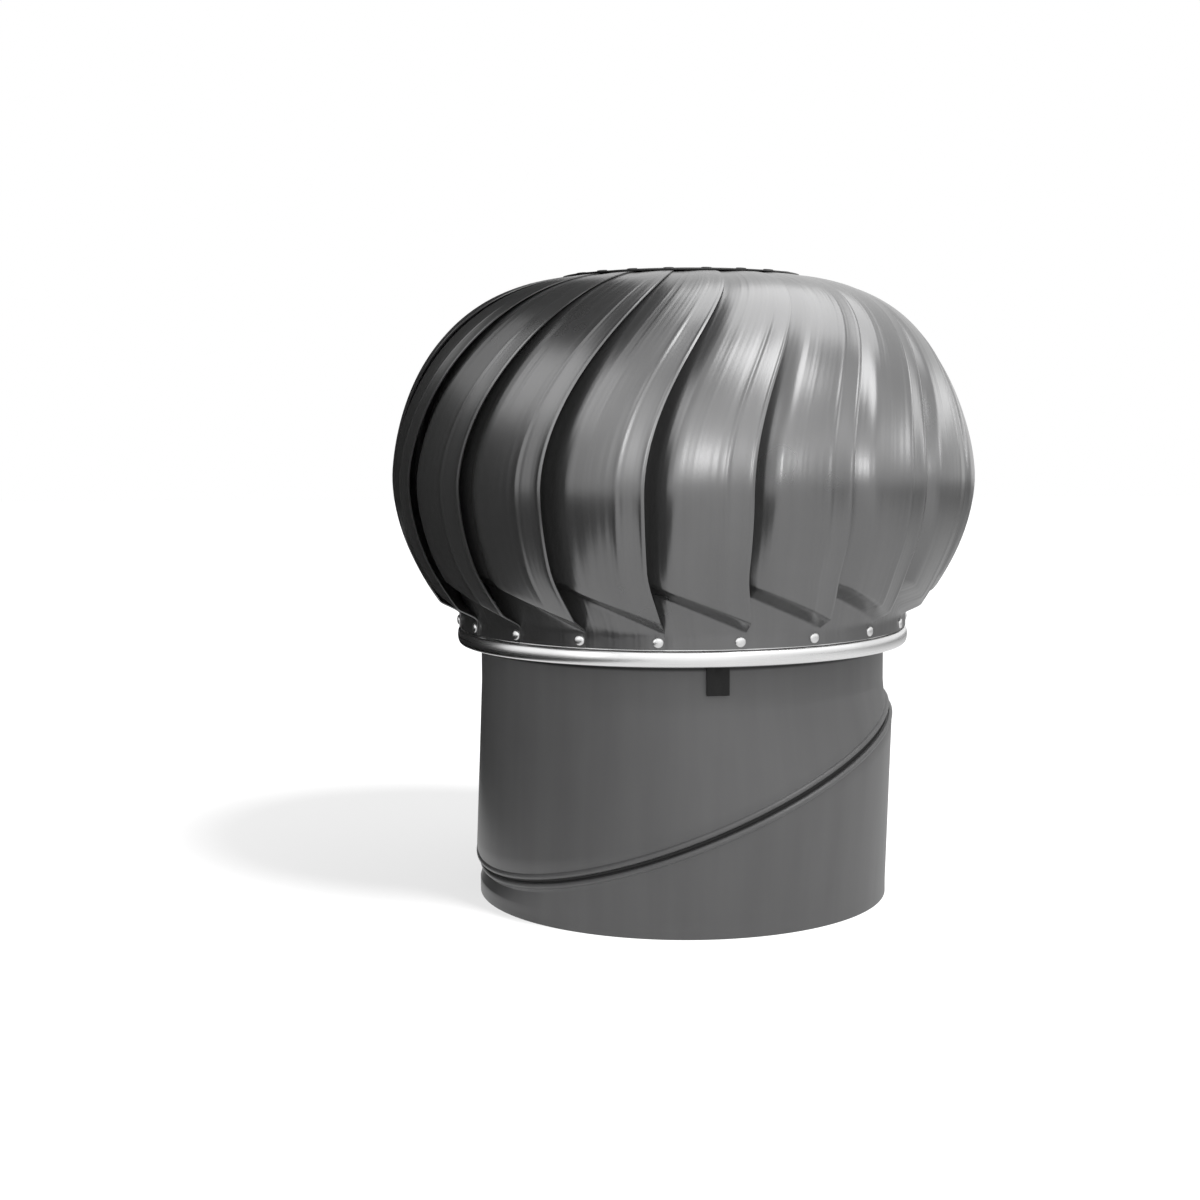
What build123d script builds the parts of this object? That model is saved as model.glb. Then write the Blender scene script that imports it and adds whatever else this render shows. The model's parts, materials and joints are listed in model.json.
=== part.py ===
# Roof turbine ventilator: a wind-driven head of curved vanes spins on a fixed shaft above a
# two-piece throat. The throat halves swivel on an oblique seam, so the head stands upright
# on a pitched roof. Millimetres, +Z up, origin at the centre of the throat's bottom rim.
import os
from math import asin, cos, degrees, hypot, pi, radians, sin

from build123d import *

os.makedirs("parts", exist_ok=True)

# ---- driving dimensions: throat -------------------------------------------------------------
duct_bore = 300.0            # inside diameter of the collar that drops over the roof spigot
throat_sheet = 0.8           # steel sheet of both throat halves
collar_height = 10.0         # straight part at the bottom rim
seam_height = 84.0           # centre of the oblique seam above the bottom rim
seam_tilt = 22.0             # slope of the seam plane: suits roofs up to twice this pitch
seam_heading = 19.0          # direction of the seam's high side, from +X towards +Y
seam_radius = 161.5          # outside of the sheet where it meets the seam's beads
seam_overlap = 7.2           # how far the upper half's spigot reaches below the seam
seam_land = 2.0              # plain ring beyond each bead, where the sheet leaves the seam
seam_groove = 2.8            # open groove between the two beads
bead_height = 2.0            # how far a seam bead stands out of the sheet
bead_width = 4.6             # width of a seam bead along the seam's axis
spigot_bead = 1.4            # bead on the spigot that is caught inside the lower bead
neck_radius = 148.0          # outside of the upper half at its top rim
neck_straight = 40.0         # straight part below the top rim
throat_height = 198.0        # top rim above the bottom rim

# ---- driving dimensions: vanes --------------------------------------------------------------
vane_count = 19
vane_sheet = 0.8
belly_radius = 211.7         # head's largest radius, over the lips of the vanes
belly_rise = 103.0           # largest radius above the rivet line of the vanes' feet
crown_height = 145.5         # from the belly up to where the dome would close
crown_fullness = 1.605       # how soon the dome turns inwards above the belly
crown_flatness = 4.1         # how flat the top of the dome is
belly_drop = 43.7            # how much narrower the dome is at the rivet line than at the belly
belly_fullness = 1.93        # how round the dome is below the belly
foot_rise = 5.0              # rivet line of the vanes' feet above the throat's top rim
foot_hem = 5.0               # foot below its rivet line
vane_rise = 144.2            # upper edge of the vanes above the belly
first_rivet_angle = -95.3    # one foot rivet, measured from +X towards +Y
rivet_edge = 4.2             # from a rivet's centre to the edge of the lip
lip_lag = 1.0                # lip behind its rivet at the belly, in degrees
lip_settle = 50.0            # height over which the lip moves from its rivet to that lag
lip_sweep = 14.3             # lip ahead of that again near the top, in degrees
sweep_drop = 6.0             # the sweep begins this far below the belly
sweep_span = 120.0           # height over which it reaches that angle
lip_width = 0.26             # flange along the lip, as a share of the vane pitch
lip_fall = 0.12              # dip of the lip's edge, as a share of the gap
gap_depth = 10.0             # air gap under a lip at its widest
gap_start = 13.0             # the gap opens this far above the rivet line
gap_end = 142.0              # and has closed again this far above the belly
gap_skew = 0.7               # below 1, the gap is widest below its middle
tuck_start = 0.74            # where a vane begins to sink under the next lip
vane_reach = 1.33            # width of a vane, as a share of the vane pitch
fold_rise = 27.0             # height that a foot's fold climbs from one rivet to the next
fold_blend = 10.0            # height over which a foot turns into the belly
foot_flat = 4.2              # flat part of a foot above its rivet line, for the rivet's head
foot_gap = 0.25              # foot off the ring's flange, which its flat facets need
foot_slope = 0.35            # outward slope of the foot above the ring

# ---- driving dimensions: vane ring, top plate, rivets ---------------------------------------
ring_sheet = 1.2
ring_radius = 162.0          # outside of the ring's flange, which carries the feet
ring_rise = 6.0              # ring's top above the rivet line
ring_bead_drop = 5.7         # top of the ring's outer bead below the rivet line
ring_bead_width = 11.2
ring_bead = 3.2              # how far that bead stands out
ledge_width = 12.0           # ledge turned inwards at the ring's top
plate_sheet = 1.0
plate_radius = 86.0
plate_flat = 68.0            # radius of the flat middle of the top plate
plate_gap = 0.4              # top plate above the dome at its rim
rivet_radius = 2.0
rivet_head_radius = 3.6
rivet_head_height = 1.7
rivet_tail_radius = 2.8
rivet_tail_height = 1.2
top_head_height = 0.7        # flatter heads, beside the plate's rim
top_rivet_circle = 79.0      # radius of the rivet circle on the top plate
cap_radius = 16.0
cap_height = 2.6
cap_hole = 12.0              # hole in the top plate that the dust cap plugs
cap_wall = 1.5
cap_depth = 3.0              # how far the dust cap's skirt reaches below the plate

# ---- driving dimensions: shaft, bearings, housings ------------------------------------------
shaft_radius = 6.0
shaft_end = 12.0             # shaft below the lower bracket
journal_radius = 5.0         # upper end of the shaft, inside the upper bearing
journal_length = 17.0
upper_bearing_drop = 24.0    # underside of the upper bearing below the top plate
upper_bearing_width = 9.0
upper_bearing_radius = 15.0
upper_ball_radius = 2.38
upper_ball_count = 8
lower_bearing_drop = 7.0     # underside of the lower bearing below the ring's top
lower_bearing_width = 10.0
lower_bearing_radius = 16.0
lower_ball_radius = 2.38
lower_ball_count = 9
race_cover = 1.6             # edge of a race from the circle of the balls' centres
cage_thickness = 1.4
cage_rim = 0.7               # cage beyond the balls' pockets, above and below
housing_wall = 3.0
housing_step = 2.0           # shoulder that the outer race is pushed against
housing_lip = 2.5            # depth of that shoulder
flange_thickness = 3.0
upper_flange_radius = 34.0
lower_flange_radius = 34.0
circlip_thickness = 1.4
circlip_width = 2.2

# ---- driving dimensions: brackets, brace, clips, fasteners ----------------------------------
arm_count = 3
clip_angle = -80.7           # first rim clip, measured from +X towards +Y
clip_width = 15.0
clip_drop = 32.5             # lower end of a clip below the throat's top rim
clip_thickness = 3.0
clip_bolt_drop = 8.0         # clip bolts below the rim
arm_width = 20.0
tab_thickness = 2.5
bracket_thickness = 3.0
bracket_hub = 24.0
upper_bracket_drop = 26.0    # underside of the upper bracket's arms below the rim
bracket_spacing = 62.0       # underside of the lower bracket's hub below those arms
strut_start = 20.0           # radius where the struts leave the lower hub
strut_end = 112.0            # radius where they reach the upper bracket
strut_tab = 22.0             # flat end of a strut, bolted under an arm
brace_thickness = 2.5
brace_hub = 38.0
brace_arm_width = 22.0
brace_angle = -60.0          # first arm of the rotor's brace, from +X towards +Y
bolt_radius = 3.0
bolt_head_radius = 5.6       # over the corners of the hexagon
bolt_head_height = 3.6
nut_height = 4.6
shaft_nut_radius = 10.4      # over the corners
shaft_nut_height = 6.0
journal_nut_radius = 9.2
washer_radius = 12.0
washer_thickness = 1.5

# ---- clearances -----------------------------------------------------------------------------
slip = 0.1                   # between fastened pieces that nest on a curve
seam_clearance = 0.35        # between the throat halves, so that they turn
ball_clearance = 0.04        # between a ball and its raceways
pocket_clearance = 0.1       # between a ball and its cage
stack_clearance = 0.15       # between vanes that lie over one another
hole_clearance = 0.1         # between a shank and its hole

# ---- values worked out from them ------------------------------------------------------------
vane_pitch = 360 / vane_count
arm_pitch = 360 / arm_count
stack_step = vane_sheet + stack_clearance
collar_radius = duct_bore / 2 + throat_sheet
neck_inside = neck_radius - throat_sheet
neck_start = throat_height - neck_straight
ring_inside = ring_radius - ring_sheet
tab_outside = neck_inside - slip
tab_inside = tab_outside - tab_thickness
clip_bottom = throat_height - clip_drop
clip_bolt_height = throat_height - clip_bolt_drop
upper_bracket_height = throat_height - upper_bracket_drop
upper_arm_top = upper_bracket_height + bracket_thickness
lower_bracket_height = upper_bracket_height - bracket_spacing
shaft_bottom = lower_bracket_height - shaft_end
foot_height = throat_height + foot_rise
belly_height = foot_height + belly_rise
vane_bottom = foot_height - foot_hem
vane_top = belly_height + vane_rise
ring_top = foot_height + ring_rise
ring_bead_top = foot_height - ring_bead_drop
ring_bottom = ring_bead_top - ring_bead_width
lower_bearing_height = ring_top - lower_bearing_drop
brace_bottom = ring_top + slip
brace_top = brace_bottom + brace_thickness


# ---- helpers --------------------------------------------------------------------------------
def save(piece, name):
    piece.part.label = name
    export_step(piece.part, f"parts/{name}.step")


def outwards(angle):
    return Vector(cos(radians(angle)), sin(radians(angle)), 0)


def radial_plane(angle):
    """Upright plane through the axis: x runs outwards at the angle, y is up."""
    return Plane(origin=(0, 0, 0), x_dir=outwards(angle), z_dir=outwards(angle).cross(Vector(0, 0, 1)))


def facing_plane(angle, height):
    """Upright plane at the axis that faces outwards at the angle, for cross bolts and rivets."""
    return Plane(origin=(0, 0, height), x_dir=outwards(angle + 90), z_dir=outwards(angle))


def ease(value):
    value = min(1.0, max(0.0, value))
    return value * value * (3 - 2 * value)


def cap_middle(radius, rise):
    """Middle point of a spherical cap's outline, so that the cap is centred on its axis."""
    ball = (radius**2 + rise**2) / (2 * rise)
    half = asin(min(1, radius / ball)) / 2
    return (ball * sin(half), rise - ball * (1 - cos(half)))


def sheet_section(plane, points, thickness):
    """Section of a bent sheet that lies to the right of the line through the points."""
    with BuildSketch(plane) as section:
        with BuildLine():
            Polyline(*points)
            offset(amount=thickness, side=Side.RIGHT)
        make_face()
    return section.sketch


def turned(profile):
    """Solid of revolution about the axis from a closed (radius, height) outline."""
    with BuildPart() as piece:
        with BuildSketch(Plane.XZ):
            with BuildLine():
                Polyline(*profile, close=True)
            make_face()
        revolve(axis=Axis.Z)
    return piece


def turned_sector(profile, angle, width, radius):
    """The same over a sector whose width is given at a radius."""
    spread = 2 * degrees(asin(width / 2 / radius))
    with BuildPart() as piece:
        with BuildSketch(radial_plane(angle - spread / 2)):
            with BuildLine():
                Polyline(*profile, close=True)
            make_face()
        revolve(axis=Axis.Z, revolution_arc=spread)
    return piece


def rivet(grip, head_height=rivet_head_height):
    """Rivet along +Z: its head sits on z = 0 and its tail is formed below the grip."""
    with BuildPart() as piece:
        with BuildSketch(Plane.XZ):
            with BuildLine():
                arc = ThreePointArc(
                    (rivet_head_radius, 0),
                    cap_middle(rivet_head_radius, head_height),
                    (0, head_height),
                )
                Polyline(
                    arc @ 1,
                    (0, -grip - rivet_tail_height),
                    (rivet_tail_radius * 0.7, -grip - rivet_tail_height),
                    (rivet_tail_radius, -grip),
                    (rivet_radius, -grip),
                    (rivet_radius, 0),
                    arc @ 0,
                )
            make_face()
        revolve(axis=Axis.Z)
    return piece


def bolt(grip):
    """Hexagon bolt along +Z with its nut: the head sits on z = 0, the nut below the grip."""
    with BuildPart() as piece:
        with BuildSketch(Plane.XY):
            RegularPolygon(radius=bolt_head_radius, side_count=6)
        extrude(amount=bolt_head_height)
        with BuildSketch(Plane.XY):
            Circle(bolt_radius)
        extrude(amount=-grip - nut_height - 1)
        with BuildSketch(Plane.XY.offset(-grip)):
            RegularPolygon(radius=bolt_head_radius, side_count=6)
        extrude(amount=-nut_height)
    return piece


def placed(piece, planes):
    with BuildPart() as group:
        with Locations(*[plane.location for plane in planes]):
            add(piece.part)
    return group


# ---- throat ---------------------------------------------------------------------------------
uphill = outwards(seam_heading)
level = outwards(seam_heading + 90)
seam_axis = Vector(0, 0, 1) * cos(radians(seam_tilt)) - uphill * sin(radians(seam_tilt))
seam_centre = Vector(0, 0, seam_height)
seam_turn = Axis(seam_centre, seam_axis)
seam_profile = Plane(origin=seam_centre, x_dir=level, z_dir=level.cross(seam_axis))


def seam_plane(distance):
    return Plane(origin=seam_centre + seam_axis * distance, x_dir=level, z_dir=seam_axis)


def flat_plane(height):
    return Plane(origin=(0, 0, height), x_dir=level, z_dir=(0, 0, 1))


half_groove = seam_groove / 2
bead_end = half_groove + bead_width
seam_end = bead_end + seam_land
spigot_radius = seam_radius - throat_sheet - seam_clearance
catch = -half_groove - bead_width / 2          # middle of the lower bead along the seam's axis
upper_seam_line = [
    (seam_radius, seam_end),
    (seam_radius, bead_end),
    (seam_radius + bead_height, bead_end - bead_width / 3),
    (seam_radius + bead_height, half_groove + bead_width / 3),
    (spigot_radius, half_groove),
    (spigot_radius, catch + bead_width / 3),
    (spigot_radius + spigot_bead, catch + bead_width / 8),
    (spigot_radius + spigot_bead, catch - bead_width / 8),
    (spigot_radius, catch - bead_width / 3),
    (spigot_radius, -seam_overlap),
]
lower_seam_line = [
    (seam_radius, -half_groove),
    (seam_radius + bead_height, -half_groove - bead_width / 3),
    (seam_radius + bead_height, -bead_end + bead_width / 3),
    (seam_radius, -bead_end),
    (seam_radius, -seam_end),
]

with BuildPart() as lower_throat:
    with BuildSketch(flat_plane(collar_height)):
        Circle(collar_radius)
    with BuildSketch(seam_plane(-seam_end)):
        Circle(seam_radius)
    loft()
    with BuildSketch(flat_plane(0)):
        Circle(collar_radius)
    extrude(amount=collar_height)
    with BuildSketch(flat_plane(collar_height)):
        Circle(collar_radius - throat_sheet)
    with BuildSketch(seam_plane(-seam_end)):
        Circle(seam_radius - throat_sheet)
    loft(mode=Mode.SUBTRACT)
    with BuildSketch(flat_plane(0)):
        Circle(collar_radius - throat_sheet)
    extrude(amount=collar_height, mode=Mode.SUBTRACT)
    add(sheet_section(seam_profile, lower_seam_line, throat_sheet))
    revolve(axis=seam_turn)
save(lower_throat, "lower_throat")

with BuildPart() as upper_throat:
    with BuildSketch(seam_plane(seam_end)):
        Circle(seam_radius)
    with BuildSketch(flat_plane(neck_start)):
        Circle(neck_radius)
    loft()
    with BuildSketch(flat_plane(neck_start)):
        Circle(neck_radius)
    extrude(amount=neck_straight)
    with BuildSketch(seam_plane(seam_end)):
        Circle(seam_radius - throat_sheet)
    with BuildSketch(flat_plane(neck_start)):
        Circle(neck_inside)
    loft(mode=Mode.SUBTRACT)
    with BuildSketch(flat_plane(neck_start)):
        Circle(neck_inside)
    extrude(amount=neck_straight, mode=Mode.SUBTRACT)
    add(sheet_section(seam_profile, upper_seam_line, throat_sheet))
    revolve(axis=seam_turn)
    for index in range(arm_count):
        with BuildSketch(facing_plane(clip_angle + index * arm_pitch, clip_bolt_height)):
            Circle(bolt_radius + hole_clearance)
        extrude(amount=neck_radius + 1, mode=Mode.SUBTRACT)
save(upper_throat, "upper_throat")

# ---- rim clips and the two brackets that hold the shaft ---------------------------------------
clip_outside = neck_radius + slip + clip_thickness
clip_inside = tab_inside - slip - clip_thickness
clip_top = throat_height + slip + clip_thickness
clip_profile = [
    (clip_outside - clip_thickness, clip_bottom),
    (clip_outside, clip_bottom),
    (clip_outside, clip_top),
    (clip_inside, clip_top),
    (clip_inside, upper_arm_top + 1),
    (clip_inside + clip_thickness, upper_arm_top + 1),
    (clip_inside + clip_thickness, throat_height + slip),
    (clip_outside - clip_thickness, throat_height + slip),
]
tab_profile = [
    (tab_inside, upper_bracket_height),
    (tab_outside, upper_bracket_height),
    (tab_outside, throat_height),
    (tab_inside, throat_height),
]
clip_angles = [clip_angle + index * arm_pitch for index in range(arm_count)]

for index, angle in enumerate(clip_angles):
    with BuildPart() as rim_clip:
        add(turned_sector(clip_profile, angle, clip_width, neck_radius).part)
        with BuildSketch(facing_plane(angle, clip_bolt_height)):
            Circle(bolt_radius + hole_clearance)
        extrude(amount=clip_outside + 1, mode=Mode.SUBTRACT)
    save(rim_clip, f"rim_clip_{index + 1}")

nut_lift = clip_inside * (1 - cos(asin(bolt_head_radius / clip_inside)))     # flat nut, curved clip
clip_bolt = bolt(clip_outside - clip_inside + nut_lift + slip)
clip_bolts = placed(
    clip_bolt, [facing_plane(angle, clip_bolt_height).offset(clip_outside) for angle in clip_angles]
)
save(clip_bolts, "clip_bolts")

strut_bolt_radius = strut_end + strut_tab / 2

with BuildPart() as upper_bracket:
    with BuildSketch(Plane.XY.offset(upper_bracket_height)):
        with PolarLocations(tab_outside / 2, arm_count, start_angle=clip_angle):
            Rectangle(tab_outside, arm_width)
        Circle(tab_outside, mode=Mode.INTERSECT)
        Circle(bracket_hub)
        Circle(shaft_radius + hole_clearance, mode=Mode.SUBTRACT)
        with PolarLocations(strut_bolt_radius, arm_count, start_angle=clip_angle):
            Circle(bolt_radius + hole_clearance, mode=Mode.SUBTRACT)
    extrude(amount=bracket_thickness)
    for angle in clip_angles:
        add(turned_sector(tab_profile, angle, arm_width, tab_outside).part)
        with BuildSketch(facing_plane(angle, clip_bolt_height)):
            Circle(bolt_radius + hole_clearance)
        extrude(amount=tab_outside + 1, mode=Mode.SUBTRACT)
save(upper_bracket, "upper_bracket")

strut_top = upper_bracket_height - slip
strut_line = [
    (shaft_radius, lower_bracket_height + bracket_thickness),
    (strut_start, lower_bracket_height + bracket_thickness),
    (strut_end, strut_top),
    (strut_end + strut_tab, strut_top),
]

with BuildPart() as lower_bracket:
    for angle in clip_angles:
        strut = sheet_section(radial_plane(angle), strut_line, bracket_thickness)
        extrude(strut, amount=arm_width / 2, both=True)
    with BuildSketch(Plane.XY.offset(lower_bracket_height)):
        Circle(bracket_hub)
    extrude(amount=bracket_thickness)
    with BuildSketch(Plane.XY.offset(lower_bracket_height)):
        Circle(shaft_radius + hole_clearance)
    extrude(amount=bracket_hub, mode=Mode.SUBTRACT)
    with BuildSketch(Plane.XY.offset(upper_bracket_height)):
        with PolarLocations(strut_bolt_radius, arm_count, start_angle=clip_angle):
            Circle(bolt_radius + hole_clearance)
    extrude(amount=-2 * bracket_thickness, mode=Mode.SUBTRACT)
save(lower_bracket, "lower_bracket")

strut_bolt = bolt(2 * bracket_thickness + slip)
strut_bolts = placed(
    strut_bolt,
    [
        Plane(origin=outwards(angle) * strut_bolt_radius + Vector(0, 0, upper_arm_top))
        for angle in clip_angles
    ],
)
save(strut_bolts, "strut_bolts")

# ---- outline of the dome, and the heights that hang from it -----------------------------------
def dome_radius(height):
    if height >= belly_height:
        rise = (height - belly_height) / crown_height
        return belly_radius * (1 - rise**crown_fullness) ** (1 / crown_flatness)
    fall = (belly_height - height) / (belly_height - foot_height)
    return belly_radius - belly_drop * fall**belly_fullness


def dome_height(radius):
    share = 1 - (radius / belly_radius) ** crown_flatness
    return belly_height + crown_height * share ** (1 / crown_fullness)


plate_underside = dome_height(plate_flat) + 2 * plate_gap
rim_underside = dome_height(plate_radius) + plate_gap
rim_tilt = (plate_underside - rim_underside) / (plate_radius - plate_flat)
rim_stretch = hypot(1, rim_tilt)
plate_top = plate_underside + plate_sheet
upper_bearing_height = plate_underside - upper_bearing_drop
shaft_top = upper_bearing_height + journal_length

# ---- fixed shaft with its nuts and washers ----------------------------------------------------
shaft_chamfer = 1.0
shaft = turned(
    [
        (0, shaft_bottom),
        (shaft_radius - shaft_chamfer, shaft_bottom),
        (shaft_radius, shaft_bottom + shaft_chamfer),
        (shaft_radius, upper_bearing_height),
        (journal_radius, upper_bearing_height),
        (journal_radius, shaft_top - shaft_chamfer),
        (journal_radius - shaft_chamfer, shaft_top),
        (0, shaft_top),
    ]
)
save(shaft, "shaft")

lower_hub_top = lower_bracket_height + bracket_thickness
washer_heights = [
    lower_bracket_height - washer_thickness,
    lower_hub_top,
    upper_bracket_height - washer_thickness,
    upper_arm_top,
]
nut_heights = [
    lower_bracket_height - washer_thickness - shaft_nut_height,
    lower_hub_top + washer_thickness,
    upper_bracket_height - washer_thickness - shaft_nut_height,
    upper_arm_top + washer_thickness,
]

with BuildPart() as shaft_washers:
    for height in washer_heights:
        with BuildSketch(Plane.XY.offset(height)):
            Circle(washer_radius)
            Circle(shaft_radius + hole_clearance, mode=Mode.SUBTRACT)
        extrude(amount=washer_thickness)
save(shaft_washers, "shaft_washers")

with BuildPart() as shaft_nuts:
    for height in nut_heights:
        with BuildSketch(Plane.XY.offset(height)):
            RegularPolygon(radius=shaft_nut_radius, side_count=6)
            Circle(shaft_radius, mode=Mode.SUBTRACT)
        extrude(amount=shaft_nut_height)
save(shaft_nuts, "shaft_nuts")

with BuildPart() as journal_nut:
    with BuildSketch(Plane.XY.offset(upper_bearing_height + upper_bearing_width)):
        RegularPolygon(radius=journal_nut_radius, side_count=6)
        Circle(journal_radius, mode=Mode.SUBTRACT)
    extrude(amount=shaft_nut_height)
save(journal_nut, "journal_nut")

with BuildPart() as shaft_circlips:
    for height in (lower_bearing_height - circlip_thickness, lower_bearing_height + lower_bearing_width):
        with BuildSketch(Plane.XY.offset(height)):
            Circle(shaft_radius + circlip_width)
            Circle(shaft_radius, mode=Mode.SUBTRACT)
        extrude(amount=circlip_thickness)
save(shaft_circlips, "shaft_circlips")


# ---- ball bearings ------------------------------------------------------------------------------
def ball_bearing(name, bore, outside, bottom, width, ball_radius, ball_count):
    """Deep-groove bearing: two races, the balls and their cage, each its own node."""
    ball_circle = (bore + outside) / 2
    middle = bottom + width / 2
    inner_edge = ball_circle - race_cover
    outer_edge = ball_circle + race_cover
    for part_name, near, far in (("inner_race", bore, inner_edge), ("outer_race", outer_edge, outside)):
        with BuildPart() as race:
            with BuildSketch(Plane.XY.offset(bottom)):
                Circle(far)
                Circle(near, mode=Mode.SUBTRACT)
            extrude(amount=width)
            with BuildSketch(Plane.XZ):
                with Locations((ball_circle, middle)):
                    Circle(ball_radius + ball_clearance)
            revolve(axis=Axis.Z, mode=Mode.SUBTRACT)
        save(race, f"{name}_{part_name}")
    with BuildPart() as balls:
        with Locations((0, 0, middle)):
            with PolarLocations(ball_circle, ball_count):
                Sphere(ball_radius)
    save(balls, f"{name}_balls")
    cage_height = 2 * (ball_radius + pocket_clearance + cage_rim)
    with BuildPart() as cage:
        with BuildSketch(Plane.XY.offset(middle - cage_height / 2)):
            Circle(ball_circle + cage_thickness / 2)
            Circle(ball_circle - cage_thickness / 2, mode=Mode.SUBTRACT)
        extrude(amount=cage_height)
        for index in range(ball_count):
            with BuildSketch(facing_plane(index * 360 / ball_count, middle)):
                Circle(ball_radius + pocket_clearance)
            extrude(amount=ball_circle + cage_thickness, mode=Mode.SUBTRACT)
    save(cage, f"{name}_cage")


ball_bearing(
    "upper", journal_radius, upper_bearing_radius, upper_bearing_height,
    upper_bearing_width, upper_ball_radius, upper_ball_count,
)
ball_bearing(
    "lower", shaft_radius, lower_bearing_radius, lower_bearing_height,
    lower_bearing_width, lower_ball_radius, lower_ball_count,
)


# ---- vanes --------------------------------------------------------------------------------------
def gap_at(height):
    opening = foot_height + gap_start
    share = (height - opening) / (belly_height + gap_end - opening)
    return gap_depth * sin(pi * min(1, max(0, share)) ** gap_skew)


def lip_angle(height):
    """Angle of a lip ahead of its foot rivet."""
    settled = ease((height - foot_height) / lip_settle)
    lead = degrees(rivet_edge / ring_radius)
    swept = max(0, (height - belly_height + sweep_drop) / sweep_span) ** 2
    return lead * (1 - settled) - lip_lag * settled + lip_sweep * swept


def vane_face(across, height):
    """Radius of a vane's outer face; across runs from 0 at its lip to 1 under the next lip."""
    tucked = ease((across - lip_width) / (1 - lip_width - 0.1))
    if across <= 1:
        under = ease((across - tuck_start) / (1 - tuck_start))
    else:
        under = 1 + 1.2 * (across - 1)
    dip = lip_fall * max(0, 1 - across / lip_width)
    depth = stack_step * tucked + gap_at(height) * (under + dip)
    belly = dome_radius(height) - depth * hypot(1, dome_lean(height))
    foot = ring_radius + foot_gap + vane_sheet + stack_step * (1 - tucked)
    foot += foot_slope * max(0, height - ring_top)
    fold_height = foot_height + foot_flat + fold_rise * min(1, across)
    folded = ease((height - fold_height) / fold_blend)
    return foot + (belly - foot) * folded


def dome_lean(height):
    return (dome_radius(height + 0.4) - dome_radius(height - 0.4)) / 0.8


def face_lean(across, height):
    return (vane_face(across, height + 0.4) - vane_face(across, height - 0.4)) / 0.8


across_steps = [0, lip_width / 2, lip_width, 0.42, 0.58, 0.74, 0.80, 0.86, 0.92, 1.0, 1.15, vane_reach]
foot_levels = [0, 4, 8.5, 13, 18, 24, 31, 39, 49, 63, 81]     # above the rivet line
crown_levels = [0, 0.16, 0.33, 0.49, 0.64, 0.76, 0.85, 0.91, 0.95, 0.975, 0.99, 1]
vane_levels = [vane_bottom] + [foot_height + level for level in foot_levels]
vane_levels += [belly_height + vane_rise * level for level in crown_levels]


def vane_section(height):
    outer = []
    inner = []
    for across in across_steps:
        angle = radians(first_rivet_angle + lip_angle(height) - across * vane_pitch)
        far = vane_face(across, height)
        near = far - vane_sheet * hypot(1, face_lean(across, height))
        outer.append((far * cos(angle), far * sin(angle)))
        inner.append((near * cos(angle), near * sin(angle)))
    return outer + inner[::-1]


def top_rivet_plane(index):
    """Plane square to the plate's sloping rim, with its origin on the rim's upper side."""
    reach = degrees(rivet_edge / top_rivet_circle)
    angle = first_rivet_angle + index * vane_pitch + lip_angle(dome_height(top_rivet_circle)) - reach
    rim_height = plate_underside - rim_tilt * (top_rivet_circle - plate_flat) + plate_sheet * rim_stretch
    normal = outwards(angle) * rim_tilt + Vector(0, 0, 1)
    return Plane(
        origin=outwards(angle) * top_rivet_circle + Vector(0, 0, rim_height),
        x_dir=outwards(angle + 90),
        z_dir=normal,
    )


def foot_rivet_angle(index):
    return first_rivet_angle + index * vane_pitch


with BuildPart() as vane:
    for height in vane_levels:
        with BuildSketch(Plane.XY.offset(height)):
            with BuildLine():
                Polyline(*vane_section(height), close=True)
            make_face()
    loft(ruled=True)
    for index in (0, -1):
        with BuildSketch(facing_plane(foot_rivet_angle(index), foot_height).offset(ring_inside)):
            Circle(rivet_radius + hole_clearance)
        extrude(amount=2 * rivet_edge, mode=Mode.SUBTRACT)
        with BuildSketch(top_rivet_plane(index)):
            Circle(rivet_radius + hole_clearance)
        extrude(amount=-2 * rivet_edge, mode=Mode.SUBTRACT)

for index in range(vane_count):
    with BuildPart() as turned_vane:
        with Locations(Location((0, 0, 0), (0, 0, index * vane_pitch))):
            add(vane.part)
    save(turned_vane, f"vane_{index + 1:02d}")

# ---- vane ring at the bottom of the head --------------------------------------------------------
ring_line = [
    (ring_radius - ledge_width, ring_top),
    (ring_radius, ring_top),
    (ring_radius, ring_bead_top),
    (ring_radius + ring_bead, ring_bead_top - ring_bead / 2),
    (ring_radius + ring_bead, ring_bottom + ring_bead / 2),
    (ring_radius, ring_bottom),
]
brace_bolt_circle = ring_inside - bolt_head_radius - slip
brace_angles = [brace_angle + index * arm_pitch for index in range(arm_count)]

with BuildPart() as vane_ring:
    add(sheet_section(Plane.XZ, ring_line, ring_sheet))
    revolve(axis=Axis.Z)
    for index in range(vane_count):
        with BuildSketch(facing_plane(foot_rivet_angle(index), foot_height)):
            Circle(rivet_radius + hole_clearance)
        extrude(amount=ring_radius + 1, mode=Mode.SUBTRACT)
    with BuildSketch(Plane.XY.offset(ring_top)):
        with PolarLocations(brace_bolt_circle, arm_count, start_angle=brace_angle):
            Circle(bolt_radius + hole_clearance)
    extrude(amount=-2 * ring_sheet, mode=Mode.SUBTRACT)
save(vane_ring, "vane_ring")

foot_face = ring_radius + foot_gap + vane_sheet + stack_step
foot_rivets = placed(
    rivet(foot_face - ring_inside + slip),
    [facing_plane(foot_rivet_angle(index), foot_height).offset(foot_face) for index in range(vane_count)],
)
save(foot_rivets, "foot_rivets")

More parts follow.
